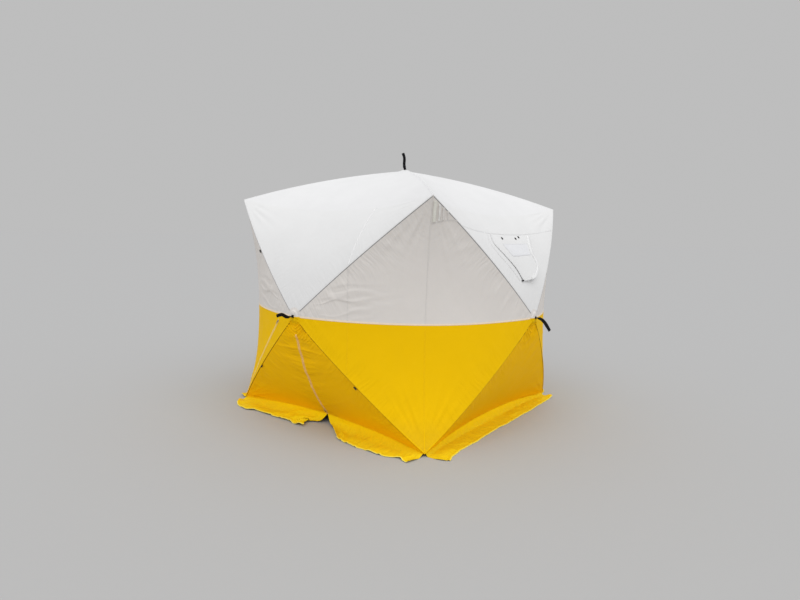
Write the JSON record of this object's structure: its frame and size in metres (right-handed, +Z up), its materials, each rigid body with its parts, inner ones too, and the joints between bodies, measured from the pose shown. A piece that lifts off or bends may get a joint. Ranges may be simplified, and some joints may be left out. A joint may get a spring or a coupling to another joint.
{
  "type": "work tent",
  "caption": "Pop-up work tent with hubs and pin-jointed poles, a white and yellow cloth cover, a zipped door, a vent flap and a ground skirt.",
  "frame": {"origin": "on the ground, in the middle of the tent's plan", "axes": "+Z up, -Y towards the front wall with the zipped door, +X towards the right wall with the vent flap"},
  "size_m": [2.6934, 2.82, 2.1367],
  "materials": {
    "cloth_white": "matt white coated polyester cloth",
    "cloth_yellow": "matt yellow coated polyester cloth",
    "cloth_skirt": "matt yellow cloth, lying on the ground",
    "webbing": "black woven webbing",
    "pocket_web": "white woven reinforcement",
    "hub_plastic": "black moulded nylon",
    "pole_fibre": "dark grey glass-fibre rod with moulded ends",
    "zip_metal": "satin metal slider"
  },
  "bodies": {
    "base": {"ground_skirt": "cloth_skirt", "top_pocket_back_left": "pocket_web", "top_pocket_back_right": "pocket_web", "top_pocket_front_left": "pocket_web", "top_pocket_front_right": "pocket_web"},
    "roof_hub": {"roof_hub": "hub_plastic", "roof_pull_strap": "webbing"},
    "roof_pole_front_left": {"roof_pole_front_left": "pole_fibre"},
    "roof_pole_front_right": {"roof_pole_front_right": "pole_fibre"},
    "roof_pole_back_right": {"roof_pole_back_right": "pole_fibre"},
    "roof_pole_back_left": {"roof_pole_back_left": "pole_fibre"},
    "roof_back_panel": {"roof_back_panel": "cloth_white"},
    "roof_front_panel": {"roof_front_panel": "cloth_white"},
    "roof_left_panel": {"roof_left_panel": "cloth_white"},
    "roof_right_panel": {"roof_right_panel": "cloth_white"},
    "front_hub": {"front_hub": "hub_plastic", "front_pull_strap": "webbing"},
    "front_pole_bottom_left": {"front_pole_bottom_left": "pole_fibre"},
    "front_pole_bottom_right": {"front_pole_bottom_right": "pole_fibre"},
    "front_pole_top_right": {"front_pole_top_right": "pole_fibre"},
    "front_pole_top_left": {"front_pole_top_left": "pole_fibre"},
    "front_top_panel": {"front_top_panel": "cloth_white"},
    "front_door_head": {"front_door_head": "cloth_yellow"},
    "front_left_panel": {"front_left_panel": "cloth_white"},
    "front_right_panel": {"front_right_panel": "cloth_white"},
    "right_hub": {"right_hub": "hub_plastic", "right_pull_strap": "webbing"},
    "right_pole_bottom_left": {"right_pole_bottom_left": "pole_fibre"},
    "right_pole_bottom_right": {"right_pole_bottom_right": "pole_fibre"},
    "right_pole_top_right": {"right_pole_top_right": "pole_fibre"},
    "right_pole_top_left": {"right_pole_top_left": "pole_fibre"},
    "right_top_panel": {"right_top_panel": "cloth_white"},
    "right_bottom_panel": {"right_bottom_panel": "cloth_yellow"},
    "right_left_panel": {"right_left_panel": "cloth_white"},
    "right_right_panel": {"right_right_panel": "cloth_white"},
    "back_hub": {"back_hub": "hub_plastic", "back_pull_strap": "webbing"},
    "back_pole_bottom_left": {"back_pole_bottom_left": "pole_fibre"},
    "back_pole_bottom_right": {"back_pole_bottom_right": "pole_fibre"},
    "back_pole_top_right": {"back_pole_top_right": "pole_fibre"},
    "back_pole_top_left": {"back_pole_top_left": "pole_fibre"},
    "back_top_panel": {"back_top_panel": "cloth_white"},
    "back_bottom_panel": {"back_bottom_panel": "cloth_yellow"},
    "back_left_panel": {"back_left_panel": "cloth_white"},
    "back_right_panel": {"back_right_panel": "cloth_white"},
    "left_hub": {"left_hub": "hub_plastic", "left_pull_strap": "webbing"},
    "left_pole_bottom_left": {"left_pole_bottom_left": "pole_fibre"},
    "left_pole_bottom_right": {"left_pole_bottom_right": "pole_fibre"},
    "left_pole_top_right": {"left_pole_top_right": "pole_fibre"},
    "left_pole_top_left": {"left_pole_top_left": "pole_fibre"},
    "left_top_panel": {"left_top_panel": "cloth_white"},
    "left_bottom_panel": {"left_bottom_panel": "cloth_yellow"},
    "left_left_panel": {"left_left_panel": "cloth_white"},
    "left_right_panel": {"left_right_panel": "cloth_white"},
    "front_door_left": {"front_door_left": "cloth_yellow"},
    "front_door_right": {"front_door_right": "cloth_yellow"},
    "front_zip_slider": {"front_zip_slider": "zip_metal"},
    "right_vent_flap": {"right_vent_flap": "cloth_white"}
  },
  "joints": [
    {"name": "roof_pop", "type": "slide", "parent": "base", "child": "roof_hub", "axis": [0, 0, -1], "range_m": [0, 0.52066], "deforming": ["roof_back_panel", "roof_front_panel", "roof_left_panel", "roof_right_panel", "top_pocket_back_left", "top_pocket_back_right", "top_pocket_front_left", "top_pocket_front_right"]},
    {"name": "roof_pole_front_left_pin", "type": "hinge", "parent": "roof_hub", "child": "roof_pole_front_left", "pos_m": [-0.02051, -0.02051, 1.9605], "axis": [-0.7071, 0.7071, 0], "range_deg": [0, 23.23]},
    {"name": "roof_pole_front_right_pin", "type": "hinge", "parent": "roof_hub", "child": "roof_pole_front_right", "pos_m": [0.02051, -0.02051, 1.9605], "axis": [-0.7071, -0.7071, 0], "range_deg": [0, 23.23]},
    {"name": "roof_pole_back_right_pin", "type": "hinge", "parent": "roof_hub", "child": "roof_pole_back_right", "pos_m": [0.02051, 0.02051, 1.9605], "axis": [0.7071, -0.7071, 0], "range_deg": [0, 23.23]},
    {"name": "roof_pole_back_left_pin", "type": "hinge", "parent": "roof_hub", "child": "roof_pole_back_left", "pos_m": [-0.02051, 0.02051, 1.9605], "axis": [0.7071, 0.7071, 0], "range_deg": [0, 23.23]},
    {"name": "roof_back_panel_fold", "type": "hinge", "parent": "base", "child": "roof_back_panel", "pos_m": [0, 0.95, 1.7], "axis": [1, 0, 0], "range_deg": [0, 30.46]},
    {"name": "roof_front_panel_fold", "type": "hinge", "parent": "base", "child": "roof_front_panel", "pos_m": [0, -0.95, 1.7], "axis": [-1, 0, 0], "range_deg": [0, 30.46]},
    {"name": "roof_left_panel_fold", "type": "hinge", "parent": "base", "child": "roof_left_panel", "pos_m": [-0.95, 0, 1.7], "axis": [0, 1, 0], "range_deg": [0, 30.46]},
    {"name": "roof_right_panel_fold", "type": "hinge", "parent": "base", "child": "roof_right_panel", "pos_m": [0.95, 0, 1.7], "axis": [0, -1, 0], "range_deg": [0, 30.46]},
    {"name": "front_pop", "type": "slide", "parent": "base", "child": "front_hub", "axis": [0, 1, 0], "range_m": [0, 0.53901], "deforming": ["front_top_panel", "front_door_head", "front_left_panel", "front_right_panel", "top_pocket_front_left", "top_pocket_front_right", "ground_skirt"]},
    {"name": "front_pole_bottom_left_pin", "type": "hinge", "parent": "front_hub", "child": "front_pole_bottom_left", "pos_m": [-0.02173, -1.2205, 0.84079], "axis": [-0.6624, 0, 0.7491], "range_deg": [0, 25.5]},
    {"name": "front_pole_bottom_right_pin", "type": "hinge", "parent": "front_hub", "child": "front_pole_bottom_right", "pos_m": [0.02173, -1.2205, 0.84079], "axis": [-0.6624, 0, -0.7491], "range_deg": [0, 25.5]},
    {"name": "front_pole_top_right_pin", "type": "hinge", "parent": "front_hub", "child": "front_pole_top_right", "pos_m": [0.02173, -1.2205, 0.87921], "axis": [0.6624, 0, -0.7491], "range_deg": [0, 25.5]},
    {"name": "front_pole_top_left_pin", "type": "hinge", "parent": "front_hub", "child": "front_pole_top_left", "pos_m": [-0.02173, -1.2205, 0.87921], "axis": [0.6624, 0, 0.7491], "range_deg": [0, 25.5]},
    {"name": "front_top_panel_fold", "type": "hinge", "parent": "base", "child": "front_top_panel", "pos_m": [0, -0.95, 1.7], "axis": [1, 0, 0], "range_deg": [0, 35.28]},
    {"name": "front_door_head_fold", "type": "hinge", "parent": "base", "child": "front_door_head", "pos_m": [0, -0.95, 0.02], "axis": [-1, 0, 0], "range_deg": [0, 35.28]},
    {"name": "front_left_panel_fold", "type": "hinge", "parent": "base", "child": "front_left_panel", "pos_m": [-0.95, -0.95, 0.86], "axis": [0, 0, 1], "range_deg": [0, 31.47]},
    {"name": "front_right_panel_fold", "type": "hinge", "parent": "base", "child": "front_right_panel", "pos_m": [0.95, -0.95, 0.86], "axis": [0, 0, -1], "range_deg": [0, 31.47]},
    {"name": "right_pop", "type": "slide", "parent": "base", "child": "right_hub", "axis": [-1, 0, 0], "range_m": [0, 0.54037], "deforming": ["right_top_panel", "right_bottom_panel", "right_left_panel", "right_right_panel", "top_pocket_back_right", "top_pocket_front_right", "ground_skirt"]},
    {"name": "right_pole_bottom_left_pin", "type": "hinge", "parent": "right_hub", "child": "right_pole_bottom_left", "pos_m": [1.2205, -0.02173, 0.84079], "axis": [0, -0.6624, 0.7491], "range_deg": [0, 25.57]},
    {"name": "right_pole_bottom_right_pin", "type": "hinge", "parent": "right_hub", "child": "right_pole_bottom_right", "pos_m": [1.2205, 0.02173, 0.84079], "axis": [0, -0.6624, -0.7491], "range_deg": [0, 25.57]},
    {"name": "right_pole_top_right_pin", "type": "hinge", "parent": "right_hub", "child": "right_pole_top_right", "pos_m": [1.2205, 0.02173, 0.87921], "axis": [0, 0.6624, -0.7491], "range_deg": [0, 25.57]},
    {"name": "right_pole_top_left_pin", "type": "hinge", "parent": "right_hub", "child": "right_pole_top_left", "pos_m": [1.2205, -0.02173, 0.87921], "axis": [0, 0.6624, 0.7491], "range_deg": [0, 25.57]},
    {"name": "right_top_panel_fold", "type": "hinge", "parent": "base", "child": "right_top_panel", "pos_m": [0.95, 0, 1.7], "axis": [0, 1, 0], "range_deg": [0, 35.37]},
    {"name": "right_bottom_panel_fold", "type": "hinge", "parent": "base", "child": "right_bottom_panel", "pos_m": [0.95, 0, 0.02], "axis": [0, -1, 0], "range_deg": [0, 35.37]},
    {"name": "right_left_panel_fold", "type": "hinge", "parent": "base", "child": "right_left_panel", "pos_m": [0.95, -0.95, 0.86], "axis": [0, 0, 1], "range_deg": [0, 31.55]},
    {"name": "right_right_panel_fold", "type": "hinge", "parent": "base", "child": "right_right_panel", "pos_m": [0.95, 0.95, 0.86], "axis": [0, 0, -1], "range_deg": [0, 31.55]},
    {"name": "back_pop", "type": "slide", "parent": "base", "child": "back_hub", "axis": [0, -1, 0], "range_m": [0, 0.53901], "deforming": ["back_top_panel", "back_bottom_panel", "back_left_panel", "back_right_panel", "top_pocket_back_left", "top_pocket_back_right", "ground_skirt"]},
    {"name": "back_pole_bottom_left_pin", "type": "hinge", "parent": "back_hub", "child": "back_pole_bottom_left", "pos_m": [0.02173, 1.2205, 0.84079], "axis": [0.6624, 0, 0.7491], "range_deg": [0, 25.5]},
    {"name": "back_pole_bottom_right_pin", "type": "hinge", "parent": "back_hub", "child": "back_pole_bottom_right", "pos_m": [-0.02173, 1.2205, 0.84079], "axis": [0.6624, 0, -0.7491], "range_deg": [0, 25.5]},
    {"name": "back_pole_top_right_pin", "type": "hinge", "parent": "back_hub", "child": "back_pole_top_right", "pos_m": [-0.02173, 1.2205, 0.87921], "axis": [-0.6624, 0, -0.7491], "range_deg": [0, 25.5]},
    {"name": "back_pole_top_left_pin", "type": "hinge", "parent": "back_hub", "child": "back_pole_top_left", "pos_m": [0.02173, 1.2205, 0.87921], "axis": [-0.6624, 0, 0.7491], "range_deg": [0, 25.5]},
    {"name": "back_top_panel_fold", "type": "hinge", "parent": "base", "child": "back_top_panel", "pos_m": [0, 0.95, 1.7], "axis": [-1, 0, 0], "range_deg": [0, 35.28]},
    {"name": "back_bottom_panel_fold", "type": "hinge", "parent": "base", "child": "back_bottom_panel", "pos_m": [0, 0.95, 0.02], "axis": [1, 0, 0], "range_deg": [0, 35.28]},
    {"name": "back_left_panel_fold", "type": "hinge", "parent": "base", "child": "back_left_panel", "pos_m": [0.95, 0.95, 0.86], "axis": [0, 0, 1], "range_deg": [0, 31.47]},
    {"name": "back_right_panel_fold", "type": "hinge", "parent": "base", "child": "back_right_panel", "pos_m": [-0.95, 0.95, 0.86], "axis": [0, 0, -1], "range_deg": [0, 31.47]},
    {"name": "left_pop", "type": "slide", "parent": "base", "child": "left_hub", "axis": [1, 0, 0], "range_m": [0, 0.54037], "deforming": ["left_top_panel", "left_bottom_panel", "left_left_panel", "left_right_panel", "top_pocket_back_left", "top_pocket_front_left", "ground_skirt"]},
    {"name": "left_pole_bottom_left_pin", "type": "hinge", "parent": "left_hub", "child": "left_pole_bottom_left", "pos_m": [-1.2205, 0.02173, 0.84079], "axis": [0, 0.6624, 0.7491], "range_deg": [0, 25.57]},
    {"name": "left_pole_bottom_right_pin", "type": "hinge", "parent": "left_hub", "child": "left_pole_bottom_right", "pos_m": [-1.2205, -0.02173, 0.84079], "axis": [0, 0.6624, -0.7491], "range_deg": [0, 25.57]},
    {"name": "left_pole_top_right_pin", "type": "hinge", "parent": "left_hub", "child": "left_pole_top_right", "pos_m": [-1.2205, -0.02173, 0.87921], "axis": [0, -0.6624, -0.7491], "range_deg": [0, 25.57]},
    {"name": "left_pole_top_left_pin", "type": "hinge", "parent": "left_hub", "child": "left_pole_top_left", "pos_m": [-1.2205, 0.02173, 0.87921], "axis": [0, -0.6624, 0.7491], "range_deg": [0, 25.57]},
    {"name": "left_top_panel_fold", "type": "hinge", "parent": "base", "child": "left_top_panel", "pos_m": [-0.95, 0, 1.7], "axis": [0, -1, 0], "range_deg": [0, 35.37]},
    {"name": "left_bottom_panel_fold", "type": "hinge", "parent": "base", "child": "left_bottom_panel", "pos_m": [-0.95, 0, 0.02], "axis": [0, 1, 0], "range_deg": [0, 35.37]},
    {"name": "left_left_panel_fold", "type": "hinge", "parent": "base", "child": "left_left_panel", "pos_m": [-0.95, 0.95, 0.86], "axis": [0, 0, 1], "range_deg": [0, 31.55]},
    {"name": "left_right_panel_fold", "type": "hinge", "parent": "base", "child": "left_right_panel", "pos_m": [-0.95, -0.95, 0.86], "axis": [0, 0, -1], "range_deg": [0, 31.55]},
    {"name": "front_door_left_swing", "type": "hinge", "parent": "front_door_head", "child": "front_door_left", "pos_m": [-0.475, -1.0975, 0.44], "axis": [0.7297, -0.2266, 0.6452], "range_deg": [0, 60], "deforming": ["front_door_left"]},
    {"name": "front_door_right_swing", "type": "hinge", "parent": "front_door_head", "child": "front_door_right", "pos_m": [0.475, -1.0975, 0.44], "axis": [0.7297, 0.2266, -0.6452], "range_deg": [0, 60], "deforming": ["front_door_right"]},
    {"name": "front_zip_run", "type": "slide", "parent": "front_door_head", "child": "front_zip_slider", "axis": [0, -0.4394, 0.8983], "range_m": [0, 0.648]},
    {"name": "right_vent_lift", "type": "hinge", "parent": "right_top_panel", "child": "right_vent_flap", "pos_m": [1.00551, -0.03653, 1.46762], "axis": [0.0063, -1, 0.0063], "range_deg": [0, 120], "deforming": ["right_vent_flap"]}
  ],
  "couplings": [
    {"joint": "roof_pole_front_left_pin", "follows": "roof_pop", "rad_per_m": 0.7782},
    {"joint": "roof_pole_front_right_pin", "follows": "roof_pop", "rad_per_m": 0.7782},
    {"joint": "roof_pole_back_right_pin", "follows": "roof_pop", "rad_per_m": 0.7782},
    {"joint": "roof_pole_back_left_pin", "follows": "roof_pop", "rad_per_m": 0.7782},
    {"joint": "roof_back_panel_fold", "follows": "roof_pop", "rad_per_m": 1.0205},
    {"joint": "roof_front_panel_fold", "follows": "roof_pop", "rad_per_m": 1.0205},
    {"joint": "roof_left_panel_fold", "follows": "roof_pop", "rad_per_m": 1.0205},
    {"joint": "roof_right_panel_fold", "follows": "roof_pop", "rad_per_m": 1.0205},
    {"joint": "front_pole_bottom_left_pin", "follows": "front_pop", "rad_per_m": 0.82512},
    {"joint": "front_pole_bottom_right_pin", "follows": "front_pop", "rad_per_m": 0.82512},
    {"joint": "front_pole_top_right_pin", "follows": "front_pop", "rad_per_m": 0.82512},
    {"joint": "front_pole_top_left_pin", "follows": "front_pop", "rad_per_m": 0.82512},
    {"joint": "front_top_panel_fold", "follows": "front_pop", "rad_per_m": 1.1417},
    {"joint": "front_door_head_fold", "follows": "front_pop", "rad_per_m": 1.1417},
    {"joint": "front_left_panel_fold", "follows": "front_pop", "rad_per_m": 1.0184},
    {"joint": "front_right_panel_fold", "follows": "front_pop", "rad_per_m": 1.0184},
    {"joint": "right_pole_bottom_left_pin", "follows": "right_pop", "rad_per_m": 0.82521},
    {"joint": "right_pole_bottom_right_pin", "follows": "right_pop", "rad_per_m": 0.82521},
    {"joint": "right_pole_top_right_pin", "follows": "right_pop", "rad_per_m": 0.82521},
    {"joint": "right_pole_top_left_pin", "follows": "right_pop", "rad_per_m": 0.82521},
    {"joint": "right_top_panel_fold", "follows": "right_pop", "rad_per_m": 1.1417},
    {"joint": "right_bottom_panel_fold", "follows": "right_pop", "rad_per_m": 1.1417},
    {"joint": "right_left_panel_fold", "follows": "right_pop", "rad_per_m": 1.0184},
    {"joint": "right_right_panel_fold", "follows": "right_pop", "rad_per_m": 1.0184},
    {"joint": "back_pole_bottom_left_pin", "follows": "back_pop", "rad_per_m": 0.82512},
    {"joint": "back_pole_bottom_right_pin", "follows": "back_pop", "rad_per_m": 0.82512},
    {"joint": "back_pole_top_right_pin", "follows": "back_pop", "rad_per_m": 0.82512},
    {"joint": "back_pole_top_left_pin", "follows": "back_pop", "rad_per_m": 0.82512},
    {"joint": "back_top_panel_fold", "follows": "back_pop", "rad_per_m": 1.1417},
    {"joint": "back_bottom_panel_fold", "follows": "back_pop", "rad_per_m": 1.1417},
    {"joint": "back_left_panel_fold", "follows": "back_pop", "rad_per_m": 1.0184},
    {"joint": "back_right_panel_fold", "follows": "back_pop", "rad_per_m": 1.0184},
    {"joint": "left_pole_bottom_left_pin", "follows": "left_pop", "rad_per_m": 0.82521},
    {"joint": "left_pole_bottom_right_pin", "follows": "left_pop", "rad_per_m": 0.82521},
    {"joint": "left_pole_top_right_pin", "follows": "left_pop", "rad_per_m": 0.82521},
    {"joint": "left_pole_top_left_pin", "follows": "left_pop", "rad_per_m": 0.82521},
    {"joint": "left_top_panel_fold", "follows": "left_pop", "rad_per_m": 1.1417},
    {"joint": "left_bottom_panel_fold", "follows": "left_pop", "rad_per_m": 1.1417},
    {"joint": "left_left_panel_fold", "follows": "left_pop", "rad_per_m": 1.0184},
    {"joint": "left_right_panel_fold", "follows": "left_pop", "rad_per_m": 1.0184}
  ]
}
